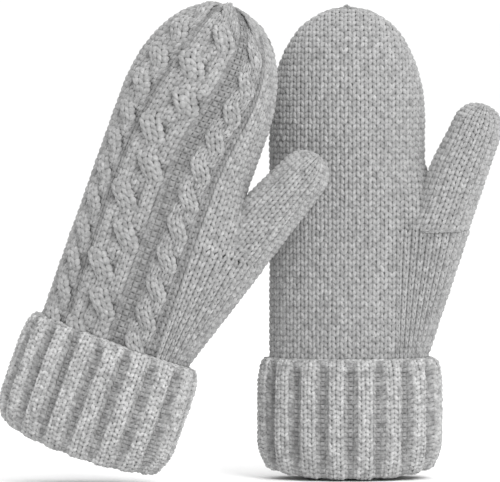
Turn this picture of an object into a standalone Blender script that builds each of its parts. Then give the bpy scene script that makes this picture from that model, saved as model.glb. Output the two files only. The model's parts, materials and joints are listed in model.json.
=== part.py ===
"""A pair of cable-knit mittens with turned-up ribbed cuffs and a fleece lining.

Each mitten is built in its own frame: the origin is the middle of the cuff's fold, +Z runs up the hand
and +X points to the thumb's side. The right mitten stands on its cuff. The left one leans beside it,
with its thumb in front of the right one's palm.
"""

import math
from collections import namedtuple

import bmesh
import bpy
from mathutils import Euler, Matrix, Vector

MM = 0.001

# Cuff, as ovals round the wrist. Depths inwards are measured from the cuff's outer face.
CUFF_HALF_WIDTH = 49.5 * MM
CUFF_HALF_DEPTH = 28 * MM
CUFF_HEIGHT = 64 * MM
CUFF_THICKNESS = 6.3 * MM
CUFF_RIBS = 16
CUFF_RIB_RELIEF = 1.6 * MM
FOLD_HEIGHT = 8 * MM
FOLD_FLAT_START = 4.2 * MM
FOLD_FLAT_WIDTH = 3.6 * MM
EDGE_YARN_RADIUS = 0.9 * MM

# Wrist rib, the layer of the cuff that lies under the turned-up one. WRIST_EASE is the room between the
# turned-up layer and the hand's foot, which stands on the wrist rib.
WRIST_THICKNESS = 4.2 * MM
WRIST_TOP = 60 * MM
WRIST_EASE = 0.65 * MM

# Hand.
HAND_TOP = 250 * MM
HAND_HALF_WIDTH = 40.7 * MM
HAND_HALF_DEPTH = 22 * MM
HAND_OFFSET = -1.5 * MM
HAND_SQUARENESS = 2.2
DOME_HEIGHT = 58 * MM
DOME_BLUNTNESS = 2.3
KNIT_THICKNESS = 3.2 * MM

# Thumb and the gusset that widens the hand below it. THUMB_STEP is how far the thumb's outer side stands
# past the line of the gusset's edge. BALL_COVER is how far the ball it turns on reaches past its wall.
GUSSET_SLOPE = 0.3214
THUMB_SEAM_HEIGHT = 133 * MM
CROTCH_HEIGHT = 171 * MM
GUSSET_SHIFT_SHARE = 0.85
THUMB_LEAN = math.radians(20.5)
THUMB_STEP = 0.127 * MM
THUMB_PIVOT_HEIGHT = 164 * MM
THUMB_TIP_REACH = 25 * MM
THUMB_TIP_RADIUS = 12.5 * MM
THUMB_OUTER_TAPER = 0.034
THUMB_INNER_TAPER = 0.12
THUMB_DEPTH_TAPER = 0.04
THUMB_ROOT_DEPTH = 38 * MM
BALL_COVER = 1.1 * MM
SEAM_YARN_RADIUS = 0.8 * MM
SEAM_CLEARANCE = 1.2 * MM

# Lining.
LINING_THICKNESS = 2.3 * MM
LINING_BOTTOM = 22 * MM
WRIST_LINING_EASE = 1.3 * MM
HEM_RADIUS = 1.1 * MM

# Gathering yarn drawn through the last stitches at the tip.
GATHER_RING_RADIUS = 2.6 * MM
GATHER_YARN_RADIUS = 0.7 * MM

# How the pair stands.
LEFT_LEAN = math.radians(19.7)
LEFT_SPIN = math.radians(-16)
LEFT_SIDESTEP = -146 * MM
LEFT_FORWARD = -36 * MM

# palm is -1 where the palm faces -Y and 1 where it faces +Y. The knit is soft, so each thumb lies its own
# way: thumb_drop is how far it has slid down the gusset, and thumb_offset how far to the palm's side.
Mitten = namedtuple("Mitten", "side palm thumb_drop thumb_offset")
RIGHT = Mitten("right", -1, 0.0, 12 * MM)
LEFT = Mitten("left", 1, 7 * MM, 4 * MM)

GAP = 0.35 * MM
PAST = 5 * MM

# What follows from the sizes above: the hand's foot inside the cuff, and where the thumb turns.
CUFF_TO_FOOT = CUFF_THICKNESS + GAP + WRIST_EASE
FOOT_HALF_WIDTH = CUFF_HALF_WIDTH - CUFF_TO_FOOT + HAND_OFFSET
FOOT_HALF_DEPTH = CUFF_HALF_DEPTH - CUFF_TO_FOOT
BALL_RADIUS = THUMB_TIP_RADIUS + THUMB_INNER_TAPER * THUMB_TIP_REACH + BALL_COVER
GUSSET_EDGE = HAND_OFFSET + HAND_HALF_WIDTH + GUSSET_SLOPE * (THUMB_PIVOT_HEIGHT - WRIST_TOP)
THUMB_OUTER_RADIUS = THUMB_TIP_RADIUS + THUMB_OUTER_TAPER * THUMB_TIP_REACH
THUMB_PIVOT_X = GUSSET_EDGE - THUMB_OUTER_RADIUS / math.cos(THUMB_LEAN) + THUMB_STEP

HAND_POINTS = 24
THUMB_POINTS = 16
OVAL_POINTS = 32
HAND_LEVELS = (0.0, 0.12, 0.3, 0.45, 0.56, 0.66, 0.76, 0.85, 1.0)
DOME_LEVELS = (0.28, 0.5, 0.68, 0.82, 0.92, 0.975)

YARN_GREY = (0.42, 0.42, 0.42, 1)
FLEECE_GREY = (0.5, 0.5, 0.5, 1)


def smooth(share):
    share = min(max(share, 0.0), 1.0)
    return share * share * (3 - 2 * share)


def signed_power(value, exponent):
    return math.copysign(abs(value) ** exponent, value)


# ---- sections ----------------------------------------------------------------------------------------


def oval_ring(inward, height, points=OVAL_POINTS, relief=None):
    """A ring at equal steps round the cuff's oval, this far in from its outer face."""
    half_width = CUFF_HALF_WIDTH
    half_depth = CUFF_HALF_DEPTH
    fine = 720
    walk = [0.0]
    for step in range(fine):
        angle = 2 * math.pi * (step + 0.5) / fine
        walk.append(walk[-1] + math.hypot(half_width * math.sin(angle), half_depth * math.cos(angle)))
    ring = []
    step = 0
    for index in range(points):
        while walk[step + 1] < walk[-1] * index / points:
            step += 1
        angle = 2 * math.pi * step / fine
        on_oval = Vector((half_width * math.cos(angle), half_depth * math.sin(angle)))
        normal = Vector((math.cos(angle) / half_width, math.sin(angle) / half_depth)).normalized()
        depth = inward + (relief(index) if relief else 0.0)
        flat = on_oval - normal * depth
        ring.append(Vector((flat.x, flat.y, height)))
    return ring


def gusset_reach(height, mitten):
    """How far the gusset carries the hand's thumb side out at this height."""
    seam_height = THUMB_SEAM_HEIGHT - mitten.thumb_drop
    if height <= WRIST_TOP:
        return 0.0
    if height <= seam_height:
        return GUSSET_SLOPE * (height - WRIST_TOP)
    full = GUSSET_SLOPE * (seam_height - WRIST_TOP)
    return full * (1 - smooth((height - seam_height) / (CROTCH_HEIGHT - THUMB_SEAM_HEIGHT)))


def hand_ring(height, inset, mitten, points=HAND_POINTS):
    """A cross-section of the hand, drawn in by inset."""
    dome_start = HAND_TOP - DOME_HEIGHT
    rise = max(0.0, height - dome_start) / (DOME_HEIGHT - inset)
    narrowing = max(0.0, 1 - rise**2) ** (1 / DOME_BLUNTNESS)
    settle = smooth((height - WRIST_TOP) / (THUMB_SEAM_HEIGHT - WRIST_TOP))
    depth = FOOT_HALF_DEPTH + (HAND_HALF_DEPTH - FOOT_HALF_DEPTH) * settle
    width = FOOT_HALF_WIDTH + (HAND_HALF_WIDTH - FOOT_HALF_WIDTH) * settle
    roundness = 2 / (2 + (HAND_SQUARENESS - 2) * settle)
    reach = gusset_reach(height, mitten)
    shift_share = reach / (GUSSET_SLOPE * (THUMB_SEAM_HEIGHT - WRIST_TOP))
    ring = []
    for index in range(points):
        angle = 2 * math.pi * index / points
        across = signed_power(math.cos(angle), roundness)
        through = signed_power(math.sin(angle), roundness)
        half_width = width - inset + (reach if across > 0 else 0.0)
        x = HAND_OFFSET + half_width * across * narrowing
        past_middle = smooth((x - HAND_HALF_WIDTH * 0.6) / (HAND_HALF_WIDTH * 0.75))
        shift = GUSSET_SHIFT_SHARE * mitten.thumb_offset * past_middle * shift_share
        y = (depth - inset) * through * narrowing - shift
        ring.append(Vector((x, -mitten.palm * y, height)))
    return ring


def thumb_axes(mitten):
    """The thumb's pivot, its outward and back-side directions, and its axis towards the tip."""
    pivot = Vector((
        THUMB_PIVOT_X - GUSSET_SLOPE * mitten.thumb_drop,
        mitten.palm * mitten.thumb_offset,
        THUMB_PIVOT_HEIGHT - mitten.thumb_drop,
    ))
    outward = Vector((math.cos(THUMB_LEAN), 0, -math.sin(THUMB_LEAN)))
    along = Vector((math.sin(THUMB_LEAN), 0, math.cos(THUMB_LEAN)))
    return pivot, outward, Vector((0, -mitten.palm, 0)), along


def thumb_radial(reach, inset, angle, mitten):
    """From the thumb's axis to its wall, this far along the axis from the pivot."""
    _, outward, sideways, _ = thumb_axes(mitten)
    below_tip = max(0.0, THUMB_TIP_REACH - reach)
    outer = THUMB_TIP_RADIUS + THUMB_OUTER_TAPER * below_tip
    inner = THUMB_TIP_RADIUS + THUMB_INNER_TAPER * min(below_tip, THUMB_TIP_REACH)
    through = THUMB_TIP_RADIUS + THUMB_DEPTH_TAPER * below_tip
    cap = THUMB_TIP_RADIUS - inset
    past_tip = max(0.0, reach - THUMB_TIP_REACH)
    narrowing = math.sqrt(max(0.0, 1 - (past_tip / cap) ** 2))
    middle = (outer - inner) / 2
    half_width = (outer + inner) / 2 - inset
    return (
        outward * (middle + half_width * math.cos(angle) * narrowing)
        + sideways * ((through - inset) * math.sin(angle) * narrowing)
    )


def thumb_ring(reach, inset, mitten, points=THUMB_POINTS):
    pivot, _, _, along = thumb_axes(mitten)
    angles = (2 * math.pi * index / points for index in range(points))
    return [pivot + along * reach + thumb_radial(reach, inset, angle, mitten) for angle in angles]


def ball_ring(radius, inset, share, mitten, points=THUMB_POINTS):
    """A ring on the ball round the thumb's pivot: its share of the way out to the thumb's wall."""
    pivot, _, _, along = thumb_axes(mitten)
    ring = []
    for index in range(points):
        radial = thumb_radial(0.0, inset, 2 * math.pi * index / points, mitten) * share
        ring.append(pivot + radial + along * math.sqrt(radius**2 - radial.length_squared))
    return ring


# ---- making objects ----------------------------------------------------------------------------------


def clear_scene():
    for obj in list(bpy.data.objects):
        bpy.data.objects.remove(obj, do_unlink=True)


def make_collection(name):
    collection = bpy.data.collections.new(name)
    bpy.context.scene.collection.children.link(collection)
    return collection


def make_material(name, colour, roughness):
    material = bpy.data.materials.new(name)
    material.use_nodes = True
    shader = material.node_tree.nodes["Principled BSDF"]
    shader.inputs["Base Color"].default_value = colour
    shader.inputs["Roughness"].default_value = roughness
    shader.inputs["Metallic"].default_value = 0.0
    return material


def loft(name, rings, collection, start=None, end=None, joined=False):
    """A closed skin over rings of equal count. Each end is a cap, or a point where one is given.

    The skin is cut into triangles the same way everywhere, so that layers nested in each other stay clear.
    """
    mesh = bpy.data.meshes.new(name)
    sheet = bmesh.new()
    rows = [[sheet.verts.new(point) for point in ring] for ring in rings]
    count = len(rings[0])
    pairs = list(zip(rows, rows[1:]))
    if joined:
        pairs.append((rows[-1], rows[0]))
    for low, high in pairs:
        for index in range(count):
            after = (index + 1) % count
            sheet.faces.new((low[index], low[after], high[after]))
            sheet.faces.new((low[index], high[after], high[index]))
    if not joined:
        for row, point in ((rows[0], start), (rows[-1], end)):
            if point is None:
                sheet.faces.new(row)
                continue
            pole = sheet.verts.new(point)
            for index in range(count):
                sheet.faces.new((row[index], row[(index + 1) % count], pole))
    bmesh.ops.recalc_face_normals(sheet, faces=sheet.faces)
    sheet.to_mesh(mesh)
    sheet.free()
    obj = bpy.data.objects.new(name, mesh)
    collection.objects.link(obj)
    return obj


def make_cutter(obj):
    obj.hide_render = True
    obj.display_type = "WIRE"
    return obj


def add_boolean(obj, operation, other):
    modifier = obj.modifiers.new(f"{operation.lower()} {other.name}", "BOOLEAN")
    modifier.operation = operation
    modifier.solver = "EXACT"
    modifier.object = other


def yarn_loop(name, points, radius, collection):
    """A closed loop of yarn through these points."""
    curve = bpy.data.curves.new(name, "CURVE")
    curve.dimensions = "3D"
    curve.bevel_depth = radius
    curve.bevel_resolution = 1
    spline = curve.splines.new("POLY")
    spline.points.add(len(points) - 1)
    for slot, point in zip(spline.points, points):
        slot.co = (*point, 1)
    spline.use_cyclic_u = True
    obj = bpy.data.objects.new(name, curve)
    collection.objects.link(obj)
    return obj


def finish_piece(obj, material, parent, offset=Vector((0, 0, 0))):
    obj.data.materials.append(material)
    obj.parent = parent
    obj.location = -offset
    if obj.type == "MESH":
        obj.data.shade_smooth()
    return obj


def make_empty(name, collection, parent=None, location=(0, 0, 0)):
    empty = bpy.data.objects.new(name, None)
    empty.location = location
    empty.parent = parent
    collection.objects.link(empty)
    return empty


# ---- the pieces --------------------------------------------------------------------------------------


def hand_solid(name, inset, mitten, collection, bottom):
    """The hand's filled outline, drawn in by inset, from bottom to its tip."""
    dome_start = HAND_TOP - DOME_HEIGHT
    heights = [WRIST_TOP + (dome_start - WRIST_TOP) * share for share in HAND_LEVELS]
    heights += [dome_start + (DOME_HEIGHT - inset) * share for share in DOME_LEVELS]
    rings = [hand_ring(height, inset, mitten) for height in heights]
    if bottom < WRIST_TOP:
        foot = hand_ring(WRIST_TOP, inset, mitten)
        rings.insert(0, [Vector((point.x, point.y, bottom)) for point in foot])
    else:
        rings[0] = hand_ring(bottom, inset, mitten)
    tip = Vector((HAND_OFFSET, 0, HAND_TOP - inset))
    return loft(name, rings, collection, end=tip)


def thumb_root_solid(name, inset, mitten, collection, ball_radius):
    """The thumb's filled root from inside the hand up to the ball that the thumb turns on."""
    pivot, _, _, along = thumb_axes(mitten)
    reaches = (-THUMB_ROOT_DEPTH + inset, -THUMB_ROOT_DEPTH / 2, 0)
    rings = [thumb_ring(reach, inset, mitten) for reach in reaches]
    rings += [ball_ring(ball_radius, inset, share, mitten) for share in (1.0, 0.75, 0.4)]
    return loft(name, rings, collection, end=pivot + along * ball_radius)


def thumb_bore_solid(name, inset, mitten, collection):
    """The hollow of the thumb's root, running straight on past the ball."""
    reaches = (-THUMB_ROOT_DEPTH + inset, -THUMB_ROOT_DEPTH / 2, 0)
    rings = [thumb_ring(reach, inset, mitten) for reach in reaches]
    past_ball = thumb_axes(mitten)[3] * (BALL_RADIUS + PAST)
    rings.append([point + past_ball for point in rings[-1]])
    return loft(name, rings, collection)


def hand_layer(name, outer, inner, mitten, pieces, cutters, bottom):
    """A hand-shaped layer between two insets, with its thumb root and open wrist."""
    layer = hand_solid(name, outer, mitten, pieces, bottom)
    root = make_cutter(thumb_root_solid(name + "_root", outer, mitten, cutters, BALL_RADIUS - GAP))
    hollow = make_cutter(hand_solid(name + "_hollow", inner, mitten, cutters, bottom - PAST))
    bore = make_cutter(thumb_bore_solid(name + "_bore", inner, mitten, cutters))
    add_boolean(layer, "UNION", root)
    add_boolean(layer, "DIFFERENCE", hollow)
    add_boolean(layer, "DIFFERENCE", bore)
    return layer


def thumb_layer(name, outer, inner, mitten, collection):
    """A thumb-shaped layer between two insets, open at the ball it turns on."""
    pivot, _, _, along = thumb_axes(mitten)

    def wall(inset):
        cap = THUMB_TIP_RADIUS - inset
        reaches = [THUMB_TIP_REACH + cap * share for share in (0.93, 0.72, 0.4, 0)]
        return [thumb_ring(reach, inset, mitten) for reach in reaches]

    rings = wall(outer)
    rings += [ball_ring(BALL_RADIUS, inset, 1.0, mitten) for inset in (outer, (outer + inner) / 2, inner)]
    rings += reversed(wall(inner))
    outer_tip = pivot + along * (THUMB_TIP_REACH + THUMB_TIP_RADIUS - outer)
    inner_tip = pivot + along * (THUMB_TIP_REACH + THUMB_TIP_RADIUS - inner)
    return loft(name, rings, collection, start=outer_tip, end=inner_tip)


def turned_cuff(name, collection):
    """The turned-up layer with its rolled fold. Its outer face is ribbed."""
    points = CUFF_RIBS * 3
    fold_inner = CUFF_THICKNESS + GAP + WRIST_THICKNESS
    flat_end = FOLD_FLAT_START + FOLD_FLAT_WIDTH

    def ribbed(strength):
        return lambda index: CUFF_RIB_RELIEF * strength if index % 3 == 0 else 0.0

    profile = [
        (0.70 * CUFF_THICKNESS, CUFF_HEIGHT, 0.0),
        (0.30 * CUFF_THICKNESS, CUFF_HEIGHT * 0.975, 0.5),
        (0.08 * CUFF_THICKNESS, CUFF_HEIGHT * 0.9, 1.0),
        (0.0, CUFF_HEIGHT * 0.5, 1.0),
        (0.1 * CUFF_THICKNESS, CUFF_HEIGHT * 0.18, 1.0),
        (0.35 * CUFF_THICKNESS, CUFF_HEIGHT * 0.05, 0.5),
        (FOLD_FLAT_START, 0.0, 0.0),
        (flat_end, 0.0, 0.0),
        (fold_inner, FOLD_HEIGHT * 0.45, 0.0),
        (fold_inner, FOLD_HEIGHT, 0.0),
        (CUFF_THICKNESS, FOLD_HEIGHT, 0.0),
        (CUFF_THICKNESS, CUFF_HEIGHT * 0.96, 0.0),
    ]
    rings = [oval_ring(inward, height, points, ribbed(strength)) for inward, height, strength in profile]
    return loft(name, rings, collection, joined=True)


def wrist_rib(name, collection):
    outer = CUFF_THICKNESS + GAP
    inner = outer + WRIST_THICKNESS
    low = FOLD_HEIGHT + GAP
    high = WRIST_TOP - GAP
    corners = ((outer, low), (outer, high), (inner, high), (inner, low))
    return loft(name, [oval_ring(*corner) for corner in corners], collection, joined=True)


def wrist_lining(name, collection):
    """The lining's straight leg inside the wrist rib, which the hand's lining stands on."""
    outer = CUFF_THICKNESS + GAP + WRIST_THICKNESS + WRIST_LINING_EASE
    inner = outer + LINING_THICKNESS
    high = WRIST_TOP - GAP
    corners = ((outer, LINING_BOTTOM), (outer, high), (inner, high), (inner, LINING_BOTTOM))
    return loft(name, [oval_ring(*corner) for corner in corners], collection, joined=True)


def cuff_edge(name, collection):
    """The bound-off chain that runs along the turned-up layer's free edge."""
    centre = CUFF_HEIGHT + GAP + EDGE_YARN_RADIUS
    return yarn_loop(name, oval_ring(0.72 * CUFF_THICKNESS, centre), EDGE_YARN_RADIUS, collection)


def lining_hem(name, collection):
    """The rolled and overcast lower edge of the lining."""
    inward = CUFF_THICKNESS + GAP + WRIST_THICKNESS + WRIST_LINING_EASE + LINING_THICKNESS / 2
    centre = LINING_BOTTOM - GAP - HEM_RADIUS
    return yarn_loop(name, oval_ring(inward, centre), HEM_RADIUS, collection)


def outside_hand(point, clear, mitten):
    """True where the point is at least this clear of the hand's outer face."""
    ring = hand_ring(point.z, -clear, mitten, points=96)
    inside = False
    for first, second in zip(ring, ring[1:] + ring[:1]):
        if (first.y > point.y) != (second.y > point.y):
            cross = first.x + (second.x - first.x) * (point.y - first.y) / (second.y - first.y)
            inside ^= point.x < cross
    return not inside


def thumb_seam(name, mitten, collection):
    """The row of linking yarn round the thumb's root, in the crease between it and the hand."""
    pivot, _, _, along = thumb_axes(mitten)
    clear = SEAM_YARN_RADIUS + SEAM_CLEARANCE
    step = 0.5 * MM
    angles = [math.pi * index / THUMB_POINTS for index in range(THUMB_POINTS * 2)]

    def place(reach, angle):
        return pivot + along * reach + thumb_radial(reach, -clear, angle, mitten)

    reaches = []
    for angle in angles:
        inner_share = (1 - math.cos(angle)) / 2
        reach = (THUMB_SEAM_HEIGHT - THUMB_PIVOT_HEIGHT) * (1 - 0.55 * inner_share)
        while not outside_hand(place(reach, angle), clear, mitten):
            reach += step
        reaches.append(reach)
    for _ in range(THUMB_POINTS):
        neighbours = zip(reaches[-1:] + reaches, reaches[1:] + reaches[:1])
        beside = [(before + after) / 2 for before, after in neighbours]
        reaches = [max(pair) for pair in zip(reaches, beside)]
    points = [place(reach, angle) for reach, angle in zip(reaches, angles)]
    return yarn_loop(name, points, SEAM_YARN_RADIUS, collection)


def tip_gather(name, collection):
    """The yarn drawn through the last round of stitches at the tip."""
    centre = HAND_TOP + GAP + GATHER_YARN_RADIUS
    points = []
    for index in range(10):
        angle = 2 * math.pi * index / 10
        ring = Vector((math.cos(angle), math.sin(angle), 0)) * GATHER_RING_RADIUS
        points.append(ring + Vector((HAND_OFFSET, 0, centre)))
    return yarn_loop(name, points, GATHER_YARN_RADIUS, collection)


def build_mitten(mitten, pair, pieces, cutters, yarn, fleece):
    side = mitten.side
    hand = make_empty(f"{side}_mitten", pieces, pair)
    pivot = thumb_axes(mitten)[0]
    thumb = make_empty(f"{side}_thumb_pivot", pieces, hand, pivot)
    cuff = make_empty(f"{side}_cuff_slide", pieces, hand)
    lining_outer = KNIT_THICKNESS + GAP
    lining_inner = lining_outer + LINING_THICKNESS

    shell = hand_layer(f"{side}_hand_shell", 0.0, KNIT_THICKNESS, mitten, pieces, cutters, WRIST_TOP)
    lining = hand_layer(f"{side}_hand_lining", lining_outer, lining_inner, mitten, pieces, cutters, WRIST_TOP)
    for cutter in cutters.objects:
        if cutter.name.startswith(side):
            cutter.parent = hand
    finish_piece(shell, yarn, hand)
    finish_piece(lining, fleece, hand)
    finish_piece(wrist_rib(f"{side}_wrist_rib", pieces), yarn, hand)
    finish_piece(wrist_lining(f"{side}_wrist_lining", pieces), fleece, hand)
    finish_piece(lining_hem(f"{side}_lining_hem", pieces), fleece, hand)
    finish_piece(thumb_seam(f"{side}_thumb_seam", mitten, pieces), yarn, hand)
    finish_piece(tip_gather(f"{side}_tip_gather", pieces), yarn, hand)

    thumb_shell = thumb_layer(f"{side}_thumb_shell", 0.0, KNIT_THICKNESS, mitten, pieces)
    thumb_lining = thumb_layer(f"{side}_thumb_lining", lining_outer, lining_inner, mitten, pieces)
    finish_piece(thumb_shell, yarn, thumb, pivot)
    finish_piece(thumb_lining, fleece, thumb, pivot)

    finish_piece(turned_cuff(f"{side}_turned_cuff", pieces), yarn, cuff)
    finish_piece(cuff_edge(f"{side}_cuff_edge", pieces), yarn, cuff)
    return hand


def world_bounds(objects):
    """Lowest and highest corner of these objects as they stand."""
    bpy.context.view_layer.update()
    graph = bpy.context.evaluated_depsgraph_get()
    low = Vector((math.inf,) * 3)
    high = Vector((-math.inf,) * 3)
    for obj in objects:
        evaluated = obj.evaluated_get(graph)
        for vertex in evaluated.to_mesh().vertices:
            point = evaluated.matrix_world @ vertex.co
            low = Vector(map(min, low, point))
            high = Vector(map(max, high, point))
        evaluated.to_mesh_clear()
    return low, high


def main():
    clear_scene()
    pieces = make_collection("knitted_mittens")
    cutters = make_collection("cutters")
    yarn = make_material("heather_yarn", YARN_GREY, 0.95)
    fleece = make_material("fleece", FLEECE_GREY, 1.0)
    pair = make_empty("pair", pieces)

    build_mitten(RIGHT, pair, pieces, cutters, yarn, fleece)
    left = build_mitten(LEFT, pair, pieces, cutters, yarn, fleece)
    lean = Euler((0, LEFT_LEAN, 0)).to_matrix() @ Matrix.Rotation(LEFT_SPIN, 3, "Z")
    left.rotation_euler = lean.to_euler()
    left.location = (LEFT_SIDESTEP, LEFT_FORWARD, 0)

    solids = [obj for obj in pieces.objects if obj.type in ("MESH", "CURVE")]
    left_low, _ = world_bounds([obj for obj in solids if obj.name.startswith("left")])
    left.location.z = -left_low.z
    low, high = world_bounds(solids)
    pair.location = (-(low.x + high.x) / 2, -(low.y + high.y) / 2, -low.z)


main()
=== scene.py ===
"""A pair of cable-knit mittens, knitted stitch by stitch.

Every stitch is a small closed piece of yarn. Stitches are laid out in columns on an opened-out face of
the hand, the thumb or the cuff, and each face wraps what is laid on it round the mitten. Positions on a
face are a distance across it, a distance up it and a lift off it.
"""

import json
import math

import bmesh
import bpy
import numpy as np
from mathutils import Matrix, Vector


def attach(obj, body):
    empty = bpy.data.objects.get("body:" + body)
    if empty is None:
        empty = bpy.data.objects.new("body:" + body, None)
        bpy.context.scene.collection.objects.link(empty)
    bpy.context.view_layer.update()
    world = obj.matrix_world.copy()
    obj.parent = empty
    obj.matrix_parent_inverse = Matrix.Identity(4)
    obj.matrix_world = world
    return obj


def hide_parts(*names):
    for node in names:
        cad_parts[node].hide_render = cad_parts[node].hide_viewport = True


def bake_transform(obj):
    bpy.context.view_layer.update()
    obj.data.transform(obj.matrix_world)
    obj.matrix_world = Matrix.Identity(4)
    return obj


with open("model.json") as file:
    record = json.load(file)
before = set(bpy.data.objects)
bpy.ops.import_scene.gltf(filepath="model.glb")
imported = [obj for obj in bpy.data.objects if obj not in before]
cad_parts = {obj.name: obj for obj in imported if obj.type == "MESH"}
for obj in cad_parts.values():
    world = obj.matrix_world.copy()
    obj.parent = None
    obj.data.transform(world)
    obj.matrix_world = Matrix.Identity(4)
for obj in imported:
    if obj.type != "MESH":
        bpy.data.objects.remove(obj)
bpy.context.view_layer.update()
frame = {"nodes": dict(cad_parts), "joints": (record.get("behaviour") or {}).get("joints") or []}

MM = 0.001

# Cuff and wrist, the same as in the frame.
CUFF_HALF_WIDTH = 49.5 * MM
CUFF_HALF_DEPTH = 28 * MM
CUFF_RIBS = 16
WRIST_TOP = 60 * MM

# Hand, the same as in the frame.
HAND_TOP = 250 * MM
HAND_HALF_WIDTH = 40.7 * MM
HAND_HALF_DEPTH = 22 * MM
HAND_WRIST_HALF_DEPTH = 20.7 * MM
HAND_OFFSET = -1.5 * MM
HAND_SQUARENESS = 2.2
DOME_HEIGHT = 58 * MM
DOME_BLUNTNESS = 2.3

# Thumb and gusset, the same as in the frame.
GUSSET_SLOPE = 0.3214
GUSSET_SHIFT_SHARE = 0.85
THUMB_SEAM_HEIGHT = 133 * MM
CROTCH_HEIGHT = 171 * MM
THUMB_LEAN = math.radians(20.5)
THUMB_PIVOT_X = 58.5 * MM
THUMB_PIVOT_HEIGHT = 164 * MM
THUMB_TIP_REACH = 25 * MM
THUMB_TIP_RADIUS = 12.5 * MM
THUMB_OUTER_TAPER = 0.034
THUMB_INNER_TAPER = 0.12
THUMB_DEPTH_TAPER = 0.04

# Gauge of the knit.
HALF_ROUND = 51.3 * MM
PLAIN_WALE = HALF_ROUND / 12
ROW = 3.13 * MM
THUMB_ROW = 2.75 * MM
THUMB_WALES = 22
CUFF_ROW = 2.5 * MM
BACK_GUSSET_WALES = 9
PALM_GUSSET_WALES = 11

# How far inside the wall of the hand or the thumb the other's stitches may lie before they are left out.
CLEAR_OF_HAND = -1.8 * MM
CLEAR_OF_THUMB = -1.5 * MM

# Ribs of the cuff: how deep they are, and the painted shade on their sides and in their furrows.
TURNED_RIB_DEPTH = 3.6 * MM
WRIST_RIB_DEPTH = 1.4 * MM
RIB_KNIT_WALE = 0.29
RIB_PURL_WALE = 0.21
CUFF_CORNER_RISE = 4.5 * MM
SIDE_PAINTED_SHADE = 0.86
FURROW_PAINTED_SHADE = 0.68

# Layout of the back, from its middle towards the thumb.
GROUND_DEPTH = 2.0 * MM
# Painted shade on the sunken purl grounds and on the edge wales beside the cables and the plain knit.
GROUND_PAINTED_SHADE = 0.78
FAR_CABLE = (-39 * MM, -26.5 * MM)
WIDE_CABLE = (-22.5 * MM, 2.0 * MM)
NEAR_CABLE = (12.8 * MM, 25.2 * MM)
NEAR_PLAIN_START = 30.2 * MM
NARROW_CROSSING = 16.5 * MM
NARROW_CROSSING_LENGTH = 13.5 * MM
NARROW_RISE = 1.7 * MM
WIDE_CROSSING = 19 * MM
WIDE_CROSSING_LENGTH = 15 * MM
WIDE_RISE = 2.0 * MM
STRAND_EDGE_DEPTH = 0.9 * MM
PLAIN_EDGE_DEPTH = 1.1 * MM
PALM_GUSSET_START = 6 * PLAIN_WALE

# Layers under the stitches, below a face: how deep each lies and how thick it is.
HAND_BACKING = (2.6 * MM, 0.9 * MM)
HAND_FLEECE = (3.7 * MM, 2.2 * MM)
THUMB_BACKING = (1.7 * MM, 1.0 * MM)
RIB_BACKING = (1.2 * MM, 0.8 * MM)

# Studio.
FLOOR_HALF_WIDTH = 60.0
FLOOR_DROP = 0.4 * MM
PICTURE_WIDTH = 267 * MM
CAMERA_LENS = 400
CAMERA_ELEVATION = math.radians(2.5)

rng = np.random.default_rng(11)


def smooth(share):
    share = np.clip(share, 0.0, 1.0)
    return share * share * (3 - 2 * share)


def signed_power(value, exponent):
    return np.sign(value) * np.abs(value) ** exponent


# ---- materials ----


def start_material(name, roughness, specular, sheen, sheen_roughness):
    """A new material with its finish set, and its nodes, its links and its shader."""
    material = bpy.data.materials.new(name)
    material.use_nodes = True
    nodes = material.node_tree.nodes
    shader = nodes["Principled BSDF"]
    shader.inputs["Roughness"].default_value = roughness
    shader.inputs["Specular IOR Level"].default_value = specular
    shader.inputs["Sheen Weight"].default_value = sheen
    shader.inputs["Sheen Roughness"].default_value = sheen_roughness
    return material, nodes, material.node_tree.links, shader


def add_noise(nodes, links, place, scale, detail):
    noise = nodes.new("ShaderNodeTexNoise")
    noise.inputs["Scale"].default_value = scale
    noise.inputs["Detail"].default_value = detail
    links.new(place.outputs["Object"], noise.inputs["Vector"])
    return noise


def add_grey_ramp(nodes, links, noise, stops):
    """Greys by the noise's level. The stops are two pairs of a level and a grey."""
    ramp = nodes.new("ShaderNodeValToRGB")
    for element, (level, grey) in zip(ramp.color_ramp.elements, stops):
        element.position = level
        element.color = (grey, grey, grey, 1)
    links.new(noise.outputs["Fac"], ramp.inputs["Fac"])
    return ramp


def add_bump(nodes, links, noise, shader, strength, distance):
    bump = nodes.new("ShaderNodeBump")
    bump.inputs["Strength"].default_value = strength
    bump.inputs["Distance"].default_value = distance
    links.new(noise.outputs["Fac"], bump.inputs["Height"])
    links.new(bump.outputs["Normal"], shader.inputs["Normal"])


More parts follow.
